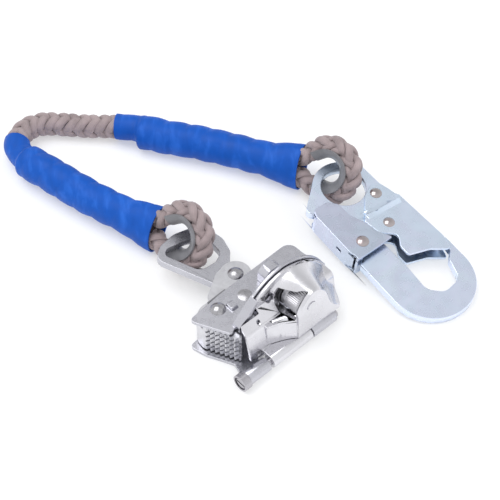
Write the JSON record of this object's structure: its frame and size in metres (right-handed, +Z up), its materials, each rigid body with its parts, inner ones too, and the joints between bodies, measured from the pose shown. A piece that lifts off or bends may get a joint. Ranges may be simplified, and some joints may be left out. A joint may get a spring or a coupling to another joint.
{
  "type": "rope grab",
  "caption": "Hinged steel rope grab with a toothed cam, knurled locking knob and ring link, on a short sleeved rope lanyard with a double-locking snap hook.",
  "frame": {"origin": "on the resting plane, under the middle of the box round the grab, its ring link and the snap hook (the lanyard left out)", "axes": "+Z up from the resting plane; +X along the longer side of the lying hardware, from the ring link towards the snap hook's bowl; +Y from the grab towards the lanyard"},
  "size_m": [0.2816, 0.2046, 0.0486],
  "materials": {
    "stainless_sheet": "satin, lightly polished",
    "stainless_rivets": "satin",
    "turned_steel": "turned",
    "spring_steel": "dull",
    "bronze_bush": "satin",
    "zinc_plate": "zinc plated, satin",
    "zinc_rivets": "zinc plated, satin",
    "braided_rope": "matte braid",
    "blue_sleeve": "semi-gloss shrink sleeve",
    "thimble_plastic": "matte"
  },
  "bodies": {
    "grab_frame": {"upper_cheek": "stainless_sheet", "lower_cheek": "stainless_sheet", "cheek_spacer": "stainless_sheet", "cam_pivot_rivet": "stainless_rivets", "cam_bush": "bronze_bush", "cam_spring": "spring_steel", "spring_anchor_rivet": "stainless_rivets", "latch_receiver": "stainless_sheet", "detent_plunger": "stainless_rivets", "detent_spring": "spring_steel", "hinge_pin": "stainless_rivets"},
    "cover": {"cover": "stainless_sheet", "knob_washers": "turned_steel"},
    "knob": {"knob": "turned_steel", "knob_shaft": "stainless_rivets"},
    "cam": {"cam": "stainless_sheet", "link_rivet": "stainless_rivets", "link_washers": "turned_steel"},
    "eye_link": {"eye_link": "stainless_sheet"},
    "lanyard": {"lanyard_rope": "braided_rope", "grab_end_sleeve": "blue_sleeve", "hook_end_sleeve": "blue_sleeve", "grab_eye_loop": "braided_rope", "hook_eye_loop": "braided_rope", "grab_thimble": "thimble_plastic", "hook_thimble": "thimble_plastic"},
    "snap_hook": {"hook_body": "zinc_plate", "gate_rivet": "zinc_rivets", "lever_rivet": "zinc_rivets", "lever_spring": "spring_steel"},
    "gate": {"gate": "zinc_plate", "gate_stop_rivet": "zinc_rivets", "gate_spring": "spring_steel"},
    "lock_lever": {"lock_lever": "zinc_plate"}
  },
  "joints": [
    {"name": "cover_hinge", "type": "hinge", "parent": "grab_frame", "child": "cover", "pos_m": [-0.01625, -0.04896, 0.0052], "axis": [0.7361, 0.6769, 0], "range_deg": [0, 85]},
    {"name": "knob_turn", "type": "hinge", "parent": "cover", "child": "knob", "pos_m": [-0.01136, -0.03359, 0.0315], "axis": [-0.6769, 0.7361, 0], "range_deg": [0, 90]},
    {"name": "cam_pivot", "type": "hinge", "parent": "grab_frame", "child": "cam", "pos_m": [-0.05579, -0.03845, 0.012], "axis": [0, 0, 1], "range_deg": [-30, 0], "stiffness_Nm_per_rad": 0.15, "springref_deg": 20.05},
    {"name": "link_swivel", "type": "hinge", "parent": "cam", "child": "eye_link", "pos_m": [-0.04644, -0.00947, 0.0127], "axis": [0, 0, 1], "range_deg": [-12, 12]},
    {"name": "lanyard_swing", "type": "hinge", "parent": "eye_link", "child": "lanyard", "pos_m": [-0.07666, 0.01906, 0.01923], "axis": [0, 0, 1], "range_deg": [-6, 6]},
    {"name": "hook_swing", "type": "hinge", "parent": "lanyard", "child": "snap_hook", "pos_m": [0.00936, 0.07059, 0.01933], "axis": [0, 0, 1], "range_deg": [0, 10]},
    {"name": "gate_hinge", "type": "hinge", "parent": "snap_hook", "child": "gate", "pos_m": [0.03565, 0.05305, 0.01393], "axis": [0.0775, -0.0985, 0.9921], "range_deg": [-20, 0], "stiffness_Nm_per_rad": 0.06, "springref_deg": 20.05},
    {"name": "lever_hinge", "type": "hinge", "parent": "snap_hook", "child": "lock_lever", "pos_m": [0.02587, 0.01632, 0.01105], "axis": [0.0775, -0.0985, 0.9921], "range_deg": [-5, 0], "stiffness_Nm_per_rad": 0.06, "springref_deg": 14.32}
  ]
}
